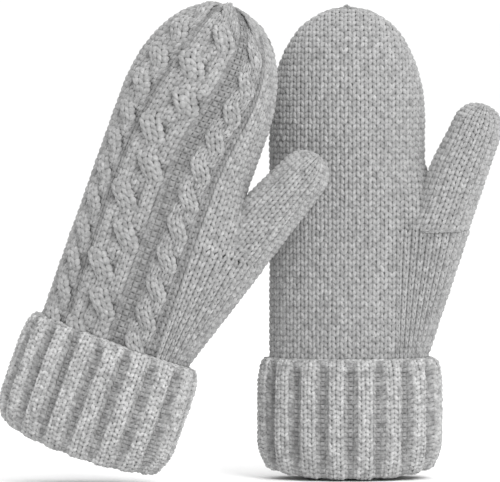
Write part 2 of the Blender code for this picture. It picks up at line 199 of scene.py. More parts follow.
def yarn_material(name, grey, spread):
    """Heather yarn: pale and dark fibres spun together, a soft sheen and a shade per stitch, which also holds
    painted shade in recesses.
    """
    material, nodes, links, shader = start_material(name, 0.92, 0.15, 0.25, 0.6)
    place = nodes.new("ShaderNodeTexCoord")
    # The stitch attribute holds each stitch's own tone times the painted shade of recesses.
    stitch = nodes.new("ShaderNodeAttribute")
    stitch.attribute_name = "stitch"

    fibres = add_noise(nodes, links, place, 1100, 3)
    fibres.inputs["Roughness"].default_value = 0.7
    flecks = add_noise(nodes, links, place, 330, 2)
    fleck_ramp = add_grey_ramp(nodes, links, flecks, ((0.33, grey - spread), (0.67, grey + spread)))

    fibre_range = nodes.new("ShaderNodeMapRange")
    for socket, level in (("From Min", 0.3), ("From Max", 0.7), ("To Min", 0.78), ("To Max", 1.2)):
        fibre_range.inputs[socket].default_value = level
    links.new(fibres.outputs["Fac"], fibre_range.inputs["Value"])
    shade = nodes.new("ShaderNodeMath")
    shade.operation = "MULTIPLY"
    links.new(fibre_range.outputs["Result"], shade.inputs[0])
    links.new(stitch.outputs["Fac"], shade.inputs[1])
    tint = nodes.new("ShaderNodeVectorMath")
    tint.operation = "SCALE"
    links.new(fleck_ramp.outputs["Color"], tint.inputs["Vector"])
    links.new(shade.outputs["Value"], tint.inputs["Scale"])
    links.new(tint.outputs["Vector"], shader.inputs["Base Color"])
    add_bump(nodes, links, fibres, shader, 0.6, 0.25 * MM)
    return material


def fleece_material(name, grey):
    """Short brushed pile: soft clumps a few millimetres across with a fine nap on them."""
    material, nodes, links, shader = start_material(name, 1.0, 0.1, 0.4, 0.5)
    place = nodes.new("ShaderNodeTexCoord")
    clumps = add_noise(nodes, links, place, 420, 4)
    ramp = add_grey_ramp(nodes, links, clumps, ((0.3, grey * 0.75), (0.7, grey * 1.2)))
    links.new(ramp.outputs["Color"], shader.inputs["Base Color"])
    add_bump(nodes, links, clumps, shader, 0.8, 0.8 * MM)
    return material


def studio_white(name, grey):
    material, _, _, shader = start_material(name, 1.0, 0.0, 0.0, 0.5)
    shader.inputs["Base Color"].default_value = (grey, grey, grey, 1)
    return material


def make_piece(name, mesh, material, body):
    """Puts a finished mesh in the scene and on its body. A piece given no body is left unattached."""
    mesh.materials.append(material)
    piece = bpy.data.objects.new(name, mesh)
    bpy.context.scene.collection.objects.link(piece)
    if body:
        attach(piece, body)
    return piece


# ---- where each mitten stands ----


class Mitten:
    """One mitten: its own frame, and how its thumb lies. Its frame has +Y out of the hand's back."""

    def __init__(self, side, thumb_drop, thumb_offset):
        self.side = side
        self.seam_height = THUMB_SEAM_HEIGHT - thumb_drop
        self.thumb_offset = thumb_offset
        self.pivot = np.array((
            THUMB_PIVOT_X - GUSSET_SLOPE * thumb_drop, -thumb_offset, THUMB_PIVOT_HEIGHT - thumb_drop,
        ))
        joints = {joint["name"]: joint for joint in frame["joints"]}
        swing = joints[f"{side}_thumb_swing"]
        slide = joints[f"{side}_cuff_turn_down"]
        up = -np.array(slide["axis"])
        swing_axis = np.array(swing["axis"])
        thumbwards = np.cross(swing_axis, up)
        back = swing_axis if side == "right" else -swing_axis
        self.basis = np.stack((thumbwards, back, up))
        self.origin = np.array(swing["pos_m"]) - self.pivot @ self.basis

    def place(self, points):
        """Points in the mitten's frame, in the world."""
        return points @ self.basis + self.origin

    def reach(self, height):
        """How far the gusset carries the hand's thumb side out at this height."""
        rising = GUSSET_SLOPE * np.clip(height - WRIST_TOP, 0, self.seam_height - WRIST_TOP)
        fading = 1 - smooth((height - self.seam_height) / (CROTCH_HEIGHT - THUMB_SEAM_HEIGHT))
        return rising * fading

    def section(self, height, angle):
        """A point of the hand's outline. Angle 0 is the thumb's side and a quarter turn is the back."""
        rise = np.clip(height - HAND_TOP + DOME_HEIGHT, 0, None) / DOME_HEIGHT
        narrowing = np.clip(1 - rise**2, 0, None) ** (1 / DOME_BLUNTNESS)
        settle = smooth((height - WRIST_TOP) / (THUMB_SEAM_HEIGHT - WRIST_TOP))
        depth = HAND_WRIST_HALF_DEPTH + (HAND_HALF_DEPTH - HAND_WRIST_HALF_DEPTH) * settle
        roundness = 2 / (2 + (HAND_SQUARENESS - 2) * settle)
        across = signed_power(np.cos(angle), roundness)
        through = signed_power(np.sin(angle), roundness)
        reach = self.reach(height)
        x = HAND_OFFSET + (HAND_HALF_WIDTH + np.where(across > 0, reach, 0)) * across * narrowing
        past_middle = smooth((x - HAND_HALF_WIDTH * 0.6) / (HAND_HALF_WIDTH * 0.75))
        share = reach / (GUSSET_SLOPE * (THUMB_SEAM_HEIGHT - WRIST_TOP))
        shift = GUSSET_SHIFT_SHARE * self.thumb_offset * past_middle * share
        return np.stack((x, depth * through * narrowing - shift, height + 0 * x), -1)

    def outside_hand(self, points):
        """How far the points lie outside the hand, about, and negative inside it."""
        x, y, z = points[..., 0], points[..., 1], points[..., 2]
        rise = np.clip(z - HAND_TOP + DOME_HEIGHT, 0, None) / DOME_HEIGHT
        narrowing = np.clip(1 - rise**2, 1e-6, None) ** (1 / DOME_BLUNTNESS)
        reach = self.reach(z)
        past_middle = smooth((x - HAND_HALF_WIDTH * 0.6) / (HAND_HALF_WIDTH * 0.75))
        share = reach / (GUSSET_SLOPE * (THUMB_SEAM_HEIGHT - WRIST_TOP))
        y = y + GUSSET_SHIFT_SHARE * self.thumb_offset * past_middle * share
        x = x - HAND_OFFSET
        half_width = (HAND_HALF_WIDTH + np.where(x > 0, reach, 0)) * narrowing
        half_depth = HAND_HALF_DEPTH * narrowing
        level = (np.abs(x / half_width) ** 2.2 + np.abs(y / half_depth) ** 2.2) ** (1 / 2.2)
        return (level - 1) * np.minimum(half_depth, half_width)

    def thumb_radial(self, reach, angle):
        """From the thumb's axis to its wall. Angle 0 is the thumb's outer side, a quarter turn its back."""
        below_tip = np.clip(THUMB_TIP_REACH - reach, 0, None)
        outer = THUMB_TIP_RADIUS + THUMB_OUTER_TAPER * below_tip
        inner = THUMB_TIP_RADIUS + THUMB_INNER_TAPER * np.minimum(below_tip, THUMB_TIP_REACH)
        through = THUMB_TIP_RADIUS + THUMB_DEPTH_TAPER * below_tip
        past_tip = np.clip(reach - THUMB_TIP_REACH, 0, THUMB_TIP_RADIUS)
        narrowing = np.sqrt(np.clip(1 - (past_tip / THUMB_TIP_RADIUS) ** 2, 0, 1))
        outward = (outer - inner) / 2 + (outer + inner) / 2 * np.cos(angle) * narrowing
        return outward, through * np.sin(angle) * narrowing

    def on_thumb(self, reach, angle):
        outward, backward = self.thumb_radial(reach, angle)
        sine, cosine = math.sin(THUMB_LEAN), math.cos(THUMB_LEAN)
        x = self.pivot[0] + sine * reach + cosine * outward
        z = self.pivot[2] + cosine * reach - sine * outward
        return np.stack((x, self.pivot[1] + backward, z), -1)

    def outside_thumb(self, points):
        """How far the points lie outside the thumb's tube, about, and negative inside it."""
        sine, cosine = math.sin(THUMB_LEAN), math.cos(THUMB_LEAN)
        x = points[..., 0] - self.pivot[0]
        z = points[..., 2] - self.pivot[2]
        backward = points[..., 1] - self.pivot[1]
        reach = sine * x + cosine * z
        outward = cosine * x - sine * z
        first, _ = self.thumb_radial(reach, np.zeros_like(reach))
        last, _ = self.thumb_radial(reach, np.full_like(reach, math.pi))
        _, through = self.thumb_radial(reach, np.full_like(reach, math.pi / 2))
        middle = (first + last) / 2
        half = np.maximum((first - last) / 2, 1e-6)
        through = np.maximum(through, 1e-6)
        level = np.hypot((outward - middle) / half, backward / through)
        below_seam = points[..., 2] < self.seam_height
        past_tip = reach > THUMB_TIP_REACH + THUMB_TIP_RADIUS
        return np.where(below_seam | past_tip, 1.0, (level - 1) * np.minimum(half, through))


# ---- faces that knitting is laid on ----


class Face:
    """A surface given by a table of points: levels up it, and steps across it from -1 to 1."""

    def __init__(self, points, lengths, level_step, outward, cap=None):
        self.points = points
        self.lengths = lengths
        self.level_step = level_step
        up = np.gradient(points, axis=0)
        over = np.gradient(points, axis=1)
        normal = np.cross(over, up)
        normal /= np.maximum(np.linalg.norm(normal, axis=-1, keepdims=True), 1e-9)
        self.normals = normal * np.sign((normal * outward).sum())
        if cap is not None:
            self.normals[-2:] = cap

    def look_up(self, table, level, step):
        low = np.clip(level.astype(int), 0, table.shape[0] - 2)
        left = np.clip(step.astype(int), 0, table.shape[1] - 2)
        up = np.clip(level - low, 0, 1)[..., None]
        over = np.clip(step - left, 0, 1)[..., None]
        bottom = table[low, left] * (1 - over) + table[low, left + 1] * over
        top = table[low + 1, left] * (1 - over) + table[low + 1, left + 1] * over
        return bottom * (1 - up) + top * up

    def length(self, height, side):
        """How far the face runs to its edge on one side, at this height up it."""
        level = np.clip(height / self.level_step, 0, len(self.lengths) - 1)
        return np.interp(level, np.arange(len(self.lengths)), self.lengths[:, 0 if side < 0 else 1])

    def wrap(self, across, height, lift):
        level = height / self.level_step
        far, near = self.length(height, -1), self.length(height, 1)
        share = np.where(across < 0, across / np.maximum(far, 1e-6), across / np.maximum(near, 1e-6))
        step = (np.clip(share, -1, 1) + 1) / 2 * (self.points.shape[1] - 1)
        normal = self.look_up(self.normals, level, step)
        normal /= np.maximum(np.linalg.norm(normal, axis=-1, keepdims=True), 1e-9)
        return self.look_up(self.points, level, step) + normal * lift[..., None]


def walked_along(line):
    """How far along a line each of its points lies."""
    return np.concatenate(([0], np.cumsum(np.linalg.norm(np.diff(line, axis=0), axis=1))))


def even_steps(path, count):
    """Points at equal steps along each row of a path, with the rows' lengths."""
    lengths = np.linalg.norm(np.diff(path, axis=1), axis=-1)
    walked = np.concatenate((np.zeros((len(path), 1)), np.cumsum(lengths, 1)), 1)
    wanted = np.linspace(0, 1, count)
    rows = []
    for points, walk in zip(path, walked):
        rows.append(np.stack([np.interp(wanted * walk[-1], walk, points[:, axis]) for axis in range(3)], -1))
    return np.array(rows), walked[:, -1]


def hand_levels():
    """Heights at equal steps up the middle of the hand's back and over its top."""
    fine = WRIST_TOP + (HAND_TOP - WRIST_TOP) * np.linspace(0, 1, 6001)
    rise = np.clip(fine - HAND_TOP + DOME_HEIGHT, 0, None) / DOME_HEIGHT
    depth = HAND_HALF_DEPTH * np.clip(1 - rise**2, 0, None) ** (1 / DOME_BLUNTNESS)
    walk = np.concatenate(([0], np.cumsum(np.hypot(np.diff(fine), np.diff(depth)))))
    count = int(walk[-1] / (1.0 * MM))
    return np.interp(np.linspace(0, walk[-1], count), walk, fine), walk[-1] / (count - 1), walk[-1]


LEVELS, LEVEL_STEP, HAND_LENGTH = hand_levels()


def hand_face(mitten, facing):
    """The palm (-1) or the back (1) of the hand, opened out from its middle to its two sides."""
    middle = facing * math.pi / 2
    turn = np.linspace(0, math.pi / 2, 120)
    height = LEVELS[:, None]
    far, far_length = even_steps(mitten.section(height, middle + facing * turn), 56)
    near, near_length = even_steps(mitten.section(height, middle - facing * turn), 56)
    points = np.concatenate((far[:, :0:-1], near), 1)
    outward = points - points.mean(1, keepdims=True)
    outward[..., 2] = 0.3 * np.abs(outward).max()
    return Face(points, np.stack((far_length, near_length), -1), LEVEL_STEP, outward, (0, 0, 1))


def thumb_face(mitten):
    """The thumb's whole wall, from its level seam to its tip. It is measured in turns from the far side."""
    columns, wall_rows, cap_rows, count = 97, 60, 20, 110
    angle = np.linspace(-math.pi, math.pi, columns)
    top = THUMB_TIP_REACH + THUMB_TIP_RADIUS
    root_outward, _ = mitten.thumb_radial(np.full_like(angle, -30 * MM), angle)
    drop = mitten.seam_height - mitten.pivot[2]
    root = (drop + math.sin(THUMB_LEAN) * root_outward) / math.cos(THUMB_LEAN)
    walls = np.linspace(0, 1, wall_rows)[:, None]
    straight = root + (THUMB_TIP_REACH - root) * walls
    bend = np.linspace(0, math.pi / 2, cap_rows + 1)[1:, None]
    cap = THUMB_TIP_REACH + THUMB_TIP_RADIUS * np.sin(bend) + 0 * angle
    reach = np.concatenate((straight, np.minimum(cap, top - 0.02 * MM)), 0)
    points = mitten.on_thumb(reach, angle + 0 * reach)
    walk = walked_along(points[:, columns // 2])
    wanted = np.linspace(0, walk[-1], count)
    even = np.stack([
        [np.interp(wanted, walk, points[:, column, axis]) for column in range(columns)] for axis in range(3)
    ], -1).transpose(1, 0, 2)
    outward = even - even.mean(1, keepdims=True) + np.array((0.35, 0, 0.9)) * 4 * MM
    girth = np.full((count, 2), math.pi * THUMB_TIP_RADIUS)
    tip = (math.sin(THUMB_LEAN), 0, math.cos(THUMB_LEAN))
    return Face(even, girth, walk[-1] / (count - 1), outward, tip), walk[-1]


def cuff_face(profile):
    """A band round the cuff. The profile runs through (depth below the cuff's face, height) corners."""
    points_round = 257
    along = walked_along(profile)
    fine = np.linspace(0, along[-1], 400)
    line = np.stack([np.interp(fine, along, profile[:, axis]) for axis in range(2)], -1)
    kernel = np.ones(31) / 31
    padded = np.pad(line, ((15, 15), (0, 0)), mode="reflect", reflect_type="odd")
    line = np.stack([np.convolve(padded[:, axis], kernel, "valid") for axis in range(2)], -1)
    walk = walked_along(line)
    count = int(walk[-1] / (0.8 * MM))
    depth, height = [np.interp(np.linspace(0, walk[-1], count), walk, line[:, axis]) for axis in range(2)]

    angle = np.linspace(0, 2 * math.pi, 1441)
    oval = np.stack((CUFF_HALF_WIDTH * np.cos(angle), CUFF_HALF_DEPTH * np.sin(angle)), -1)
    round_walk = walked_along(oval)
    girth = round_walk[-1]
    even_angle = np.interp(np.linspace(0, girth, points_round), round_walk, angle)
    oval = np.stack((CUFF_HALF_WIDTH * np.cos(even_angle), CUFF_HALF_DEPTH * np.sin(even_angle)), -1)
    normal = np.stack((np.cos(even_angle) / CUFF_HALF_WIDTH, np.sin(even_angle) / CUFF_HALF_DEPTH), -1)
    normal /= np.linalg.norm(normal, axis=-1, keepdims=True)
    flat = oval[None] - normal[None] * depth[:, None, None]
    risen = np.repeat(height[:, None, None], points_round, 1)
    points = np.concatenate((flat, risen), -1)
    low = smooth(1 - height / (24 * MM))[:, None]
    points[..., 2] += CUFF_CORNER_RISE * low * np.abs(np.cos(even_angle)) ** 2.5

    slope = np.stack((np.gradient(depth), np.gradient(height)), -1)
    slope /= np.linalg.norm(slope, axis=-1, keepdims=True)
    out = np.concatenate((
        normal[None] * slope[:, 1][:, None, None],
        np.broadcast_to(slope[:, 0][:, None, None], flat.shape[:2] + (1,)),
    ), -1)
    face = Face(points, np.full((count, 2), girth / 2), walk[-1] / (count - 1), out)
    return face, walk[-1], girth


# ---- stitches ----


def ball_of_yarn(sides, rounds):
    """A small ball, as arrays: its points, its faces' corners and each corner's place on a flat map."""
    ball = bmesh.new()
    bmesh.ops.create_uvsphere(ball, u_segments=sides, v_segments=rounds, radius=1.0)
    bmesh.ops.triangulate(ball, faces=ball.faces)
    points = np.array([vertex.co for vertex in ball.verts])
    corners = np.array([[vertex.index for vertex in face.verts] for face in ball.faces])
    ball.free()
    turns = np.arctan2(points[:, 1], points[:, 0]) / (2 * math.pi)
    at_pole = np.abs(points[:, 2]) > 0.999
    flat = np.zeros(corners.shape + (2,))
    for index, face in enumerate(corners):
        around = turns[face].copy()
        rim = around[~at_pole[face]]
        around = np.where(around < rim.max() - 0.5, around + 1, around)
        rim = around[~at_pole[face]]
        around[at_pole[face]] = rim.mean()
        flat[index, :, 0] = (around + 0.5) / (1.5 + 1 / sides)
        flat[index, :, 1] = (points[face, 2] + 1) / 2
    return points, corners, flat


LEG_BALL = ball_of_yarn(6, 5)
BUMP_BALL = ball_of_yarn(6, 4)


class Knitting:
    """Collects the stitches of one piece and makes its mesh."""

    def __init__(self, mitten):
        self.mitten = mitten
        self.points = []
        self.corners = []
        self.maps = []
        self.shades = []
        self.count = 0
        self.tiles = 0

    def add(self, ball, placed, shade):
        """Adds copies of a ball already put in place: an array of copies by points by 3."""
        _, corners, flat = ball
        copies, size = placed.shape[:2]
        if copies == 0:
            return
        world = self.mitten.place(placed.reshape(-1, 3)).reshape(placed.shape)
        one, two, three = np.moveaxis(world[0][corners] - world[0].mean(0), 1, 0)
        outwards = (one * np.cross(two, three)).sum() > 0
        order = corners if outwards else corners[:, ::-1]
        mapped = flat if outwards else flat[:, ::-1]
        base = self.count + np.arange(copies) * size
        self.points.append(world.reshape(-1, 3))
        self.corners.append((order[None] + base[:, None, None]).reshape(-1, 3))
        self.maps.append((np.broadcast_to(mapped[None], (copies,) + mapped.shape), self.tiles))
        self.shades.append(np.broadcast_to(shade, (copies, size)).reshape(-1))
        self.count += copies * size
        self.tiles += copies

    def finish(self, name, material, body):
        """Makes the object, with each stitch on its own tile of the flat map."""
        points = np.concatenate(self.points)
        corners = np.concatenate(self.corners)
        across = math.ceil(math.sqrt(self.tiles))
        flat = []
        for tile_map, start in self.maps:
            number = start + np.arange(len(tile_map))
            corner = np.stack((number % across, number // across), -1)[:, None, None, :]
            flat.append(((corner + 0.06 + 0.88 * tile_map) / across).reshape(-1, 2))
        mesh = bpy.data.meshes.new(name)
        mesh.from_pydata(points, [], corners)
        layer = mesh.uv_layers.new(name="OFBake")
        layer.data.foreach_set("uv", np.concatenate(flat).astype(np.float32).reshape(-1))
        shade = mesh.attributes.new("stitch", "FLOAT", "POINT")
        shade.data.foreach_set("value", np.concatenate(self.shades).astype(np.float32))
        mesh.shade_smooth()
        return make_piece(name, mesh, material, body)


def spread_shade(copies):
    """A shade for each stitch, a little off the yarn's own."""
    return 1 + 0.045 * rng.standard_normal((copies, 1))


def leg_shape(ball, side):
    """One leg of a plain stitch in wales, rows and metres: it rises outwards from the stitch's foot."""
    x, y, z = ball[0].T
    along = (z + 1) / 2
    bent = along**0.85
    across = side * (0.09 + 0.30 * bent) + 0.30 * x
    up = -0.46 + 1.5 * along
    lift = -0.40 * MM + 0.62 * MM * np.sin(math.pi * bent) + 0.80 * MM * y
    return across, up, lift


def purl_shape(ball, upside):
    """One arch of a purl stitch, lying across its wale."""
    x, y, z = ball[0].T
    up = upside * (0.22 - 0.46 * z**2) + 0.44 * x
    lift = 0.25 * MM * (1 - z**2) + 0.70 * MM * y
    return 0.58 * z, up, lift


def lay(knitting, face, ball, shape, rows, row_height, centre, width, raised, keep=None, tone=1.0):
    """Lays one shape on each row of a wale. centre, width and raised are functions of height up the face.

    raised also takes the distance across from the wale's own middle. keep picks rows by their place.
    """
    if len(rows) == 0:
        return
    across, up, lift = shape
    start = rows[:, None] * row_height
    height = start + up * row_height
    jitter = rng.standard_normal((len(rows), 3))
    off = across * width(height) + 0.02 * width(start) * jitter[:, :1]
    own_lift = lift + raised(height, off) + 0.10 * MM * jitter[:, 1:2]
    placed = face.wrap(centre(height) + off, height, own_lift)
    if keep is not None:
        middle = placed.mean(1)
        placed = placed[keep(middle)]
    # Painted shade: the deeper parts of each leg are darker, and so are whole wales whose shade factor is
    # below 1. spread_shade adds each stitch's own tone.
    shade = tone * spread_shade(len(placed)) * (0.90 + 0.12 * smooth((lift / MM + 1.0) / 2.0))
    knitting.add(ball, placed, shade)


def plain_wale(knitting, face, rows, row_height, centre, width, raised, keep=None, tone=1.0, sides=(-1, 1)):
    """A column of plain stitches: a pair of leaning legs on each row, or only the legs of one side."""
    for side in sides:
        shape = leg_shape(LEG_BALL, side)
        lay(knitting, face, LEG_BALL, shape, rows, row_height, centre, width, raised, keep, tone)


def purl_wale(knitting, face, rows, row_height, centre, width, raised, keep=None, tone=1.0):
    """A column of purl stitches: an upward and a downward arch on each row."""
    for upside, shift in ((1, 0.0), (-1, 0.5)):
        shape = purl_shape(BUMP_BALL, upside)
        lay(knitting, face, BUMP_BALL, shape, rows + shift, row_height, centre, width, raised, keep, tone)


def rounded(off, width, depth):
    """How far a wale falls away towards its two edges."""
    return -depth * np.clip(2 * off / np.maximum(width, 0.1 * MM), -1.3, 1.3) ** 2


# ---- the hand ----


def soft_unevenness(across, height):
    """Gentle waves of a filled knitted hand."""
    wave = np.sin(across / (9 * MM) + 1.3) * np.sin(height / (17 * MM) + 0.4)
    return 0.22 * MM * wave + 0.16 * MM * np.sin(across / (23 * MM) - height / (31 * MM))


def strand_tracks(lanes, crossings, length):
    """Where each cable strand runs: a list per strand of (height, lane before, lane after, over)."""
    at = list(range(lanes))
    tracks = [[] for _ in range(lanes)]
    for height, lane in crossings:
        under = at.index(lane)
        over = at.index(lane + 1)
        tracks[over].append((height, lane + 1, lane, 1))
        tracks[under].append((height, lane, lane + 1, -1))
        at[under], at[over] = lane + 1, lane
    return [(start, track, length) for start, track in enumerate(tracks)]


def strand_lane(track, height):
    """The lane that a strand runs in, which changes smoothly at each crossing."""
    start, turns, length = track
    lane = np.full_like(height, float(start))
    for middle, before, after, _ in turns:
        lane += (after - before) * smooth((height - middle) / length + 0.5)
    return lane


def strand_lift(track, height):
    """1 where a strand lies on top at a crossing, -1 where it lies under, and 0 between crossings."""
    _, turns, length = track
    lift = np.zeros_like(height)
    for middle, _, _, over in turns:
        lift += over * np.sin(math.pi * np.clip((height - middle) / length + 0.5, 0, 1)) ** 0.8
    return lift


def cable(knitting, face, edges, lanes, crossings, length, rise, bent, rows, keep):
    """A cable of strands two wales wide, each with its own way across and over the others."""
    left, right = edges
    strand = (right - left) / lanes
    wale = strand / 2

    def spread(track, height):
        """A strand widens where it crosses, so that no gap opens beside it."""
        level = strand_lift(track, height)
        return 1 + np.where(level > 0, 0.70 * level, -0.45 * level)

    for track in strand_tracks(lanes, crossings, length):
        for half in (-0.5, 0.5):
            def centre(height, track=track, half=half):
                middle = left + (strand_lane(track, height) + 0.5) * strand
                return bent(middle + half * wale * spread(track, height), height)

            def raised(height, off, track=track, half=half):
                own_wale = wale * spread(track, height)
                round_over = (off / own_wale + half) ** 2
                level = strand_lift(track, height)
                return rise * level + 1.0 * MM - 1.4 * MM * round_over

            def width(height, track=track):
                drawn = (bent(left + strand, height) - bent(left, height)) / strand
                return wale * spread(track, height) * drawn

            plain_wale(knitting, face, rows, ROW, centre, width, raised, keep)


def hand_rows():
    return np.arange(0.6, HAND_LENGTH / ROW - 0.9)


def build_back(mitten):
    """The hand's back: one wide cable and two narrow ones on purl grounds, and plain knit at its sides.

    The cables are collected on their own, because together with the rest they are too much for one piece.
    """
    face = hand_face(mitten, 1)
    knitting = Knitting(mitten)
    cables = Knitting(mitten)
    nominal = face.length(np.array(80 * MM), -1)  # the straight part of the hand

    def bent(across, height):
        """Draws the columns in towards the gathered tip, which lies to the thumb's side."""
        share = across / nominal
        pull = 0.30 * smooth((height - 95 * MM) / (90 * MM))
        share = share + pull * (1 - np.clip(share, -1, 1) ** 2)
        return share * np.minimum(face.length(height, -1), nominal * 1.02)

    def keep(points):
        return mitten.outside_thumb(points) > CLEAR_OF_THUMB

    rows = hand_rows()

    def wales(start, end, count, kind, level, tone=1.0, on_rows=rows):
        step = (end - start) / count
        for index in range(count):
            middle = start + (index + 0.5) * step

            def centre(height, middle=middle):
                return bent(middle, height)

            def width(height, middle=middle):
                return bent(middle + step / 2, height) - bent(middle - step / 2, height)

            def raised(height, off, middle=middle):
                shallow = 1 - 0.5 * smooth((height - 140 * MM) / (40 * MM))
                return level * shallow + soft_unevenness(middle + off, height) + rounded(off, step, 0.35 * MM)

            kind(knitting, face, on_rows, ROW, centre, width, raised, keep, tone)

    wales(-HALF_ROUND, FAR_CABLE[0], 4, plain_wale, 0.0)
    # The purl grounds and the edge wales below are darkened with painted shade.
    wales(FAR_CABLE[1], WIDE_CABLE[0], 1, purl_wale, -GROUND_DEPTH, GROUND_PAINTED_SHADE)
    wales(WIDE_CABLE[1], NEAR_CABLE[0], 3, purl_wale, -GROUND_DEPTH, GROUND_PAINTED_SHADE)
    wales(NEAR_CABLE[1], NEAR_PLAIN_START, 1, purl_wale, -GROUND_DEPTH, GROUND_PAINTED_SHADE)
    border = 0.5 * PLAIN_WALE
    wales(NEAR_PLAIN_START - border, NEAR_PLAIN_START + border, 1, plain_wale, -PLAIN_EDGE_DEPTH, GROUND_PAINTED_SHADE)
    for edges, lanes in ((FAR_CABLE, 2), (NEAR_CABLE, 2), (WIDE_CABLE, 3)):
        strand = (edges[1] - edges[0]) / lanes
        for lane in range(lanes + 1):
            left = edges[0] + (lane - 0.25) * strand
            wales(left, left + 0.5 * strand, 1, plain_wale, -STRAND_EDGE_DEPTH, GROUND_PAINTED_SHADE)

    narrow = [(height, 0) for height in np.arange(6 * MM, HAND_LENGTH, NARROW_CROSSING)]
    wide = [(height, index % 2) for index, height in enumerate(np.arange(3 * MM, HAND_LENGTH, WIDE_CROSSING))]
    for edges in (FAR_CABLE, NEAR_CABLE):
        cable(cables, face, edges, 2, narrow, NARROW_CROSSING_LENGTH, NARROW_RISE, bent, rows, keep)
    cable(cables, face, WIDE_CABLE, 3, wide, WIDE_CROSSING_LENGTH, WIDE_RISE, bent, rows, keep)

    gusset_rows = rows[rows * ROW < mitten.seam_height - WRIST_TOP]
    upper_rows = rows[rows * ROW >= mitten.seam_height - WRIST_TOP]
    gusset_fan(knitting, face, gusset_rows, NEAR_PLAIN_START, BACK_GUSSET_WALES, keep)
    wales(NEAR_PLAIN_START, HALF_ROUND, 5, plain_wale, 0.0, 1.0, upper_rows)
    return knitting, cables


def gusset_fan(knitting, face, rows, start, count, keep):
    """The gusset's wales, which spread from the wrist to the thumb's seam."""
    for index in range(count):
        def width(height):
            return (face.length(height, 1) - start) / count

        def centre(height, index=index):
            return start + (index + 0.5) * width(height)

        def raised(height, off):
            return 0.6 * MM + rounded(off, width(height), 1.2 * MM)

        plain_wale(knitting, face, rows, ROW, centre, width, raised, keep)


def build_palm(mitten):
    """The hand's palm: plain knit, with the gusset at its thumb side."""
    face = hand_face(mitten, -1)
    knitting = Knitting(mitten)
    rows = hand_rows()
    pucker = (29 * MM, mitten.seam_height + 4 * MM - WRIST_TOP)

    def keep(points):
        return mitten.outside_thumb(points) > CLEAR_OF_THUMB

    def dent(across, height):
        """The pucker where the thumb's seam ends on the palm."""
        apart = np.hypot(across - pucker[0], (height - pucker[1]) * 0.8)
        return -2.2 * MM * np.exp(-((apart / (4.5 * MM)) ** 2))

    for index in range(-12, 12):
        middle = (index + 0.5) * PLAIN_WALE

        def centre(height, middle=middle):
            return middle + 0 * height

        def width(height):
            return PLAIN_WALE + 0 * height

        def raised(height, off, middle=middle):
            level = soft_unevenness(middle + off, height) + dent(middle + off, height)
            return level + rounded(off, PLAIN_WALE, 0.2 * MM)

        side = 1 if middle > 0 else -1
        open_rows = rows[face.length(rows * ROW, side) > abs(middle) - 0.1 * PLAIN_WALE]
        if middle > PALM_GUSSET_START:
            open_rows = open_rows[open_rows * ROW >= mitten.seam_height - WRIST_TOP]
        plain_wale(knitting, face, open_rows, ROW, centre, width, raised, keep)
    gusset_rows = rows[rows * ROW < mitten.seam_height - WRIST_TOP]
    gusset_fan(knitting, face, gusset_rows, PALM_GUSSET_START, PALM_GUSSET_WALES, keep)
    return knitting


def backing(mitten, name, surface, columns, rows, layer, material, body):
    """A closed layer under the stitches, given by a surface of turns round, share up and lift."""
    depth, wall = layer
    shell = bmesh.new()
    end_of = shell.verts.layers.int.new("end")
    for lift in (-depth, -depth - wall):
        sheet = bmesh.ops.create_grid(shell, x_segments=columns, y_segments=rows, size=0.5)["verts"]
        flat = np.array([vertex.co for vertex in sheet]) + 0.5
        placed = mitten.place(surface(flat[:, 0], flat[:, 1], lift))
        for vertex, point, share in zip(sheet, placed, flat[:, 1]):
            vertex.co = point
            vertex[end_of] = 1 if share < 0.001 else 2 if share > 0.999 else 0
    bmesh.ops.remove_doubles(shell, verts=shell.verts, dist=0.02 * MM)
    for end in (1, 2):
        rim = [edge for edge in shell.edges if edge.is_boundary and edge.verts[0][end_of] == end]
        if rim:
            bmesh.ops.bridge_loops(shell, edges=rim)
    bmesh.ops.recalc_face_normals(shell, faces=shell.faces)
    mesh = bpy.data.meshes.new(name)
    shell.to_mesh(mesh)
    shell.free()
    # Painted shade: the layer is a little darker than the stitches, for the gaps between them.
    shade = mesh.attributes.new("stitch", "FLOAT", "POINT")
    shade.data.foreach_set("value", np.full(len(mesh.vertices), 0.8, np.float32))
    mesh.shade_smooth()
    return make_piece(name, mesh, material, body)


def hand_backing(mitten, material, fleece, body):
    """The layer under the hand's stitches, and the fleece inside it."""
    palm = hand_face(mitten, -1)
    back = hand_face(mitten, 1)

    def surface(turn, share, lift):
        height = share * HAND_LENGTH
        on_back = turn < 0.5
        local = np.where(on_back, 1 - 4 * turn, 4 * turn - 3)
        points = np.zeros((len(turn), 3))
        for face, chosen in ((back, on_back), (palm, ~on_back)):
            across = local * np.where(local < 0, face.length(height, -1), face.length(height, 1))
            wrapped = face.wrap(across, height, np.full(len(turn), lift))
            points[chosen] = wrapped[chosen]
        return points

    side = mitten.side
    under = backing(mitten, f"{side}_hand_backing", surface, 96, 90, HAND_BACKING, material, body)
    lining = backing(mitten, f"{side}_hand_fleece", surface, 64, 70, HAND_FLEECE, fleece, body)
    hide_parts(f"{side}_hand_lining")
    return under


# ---- the thumb ----


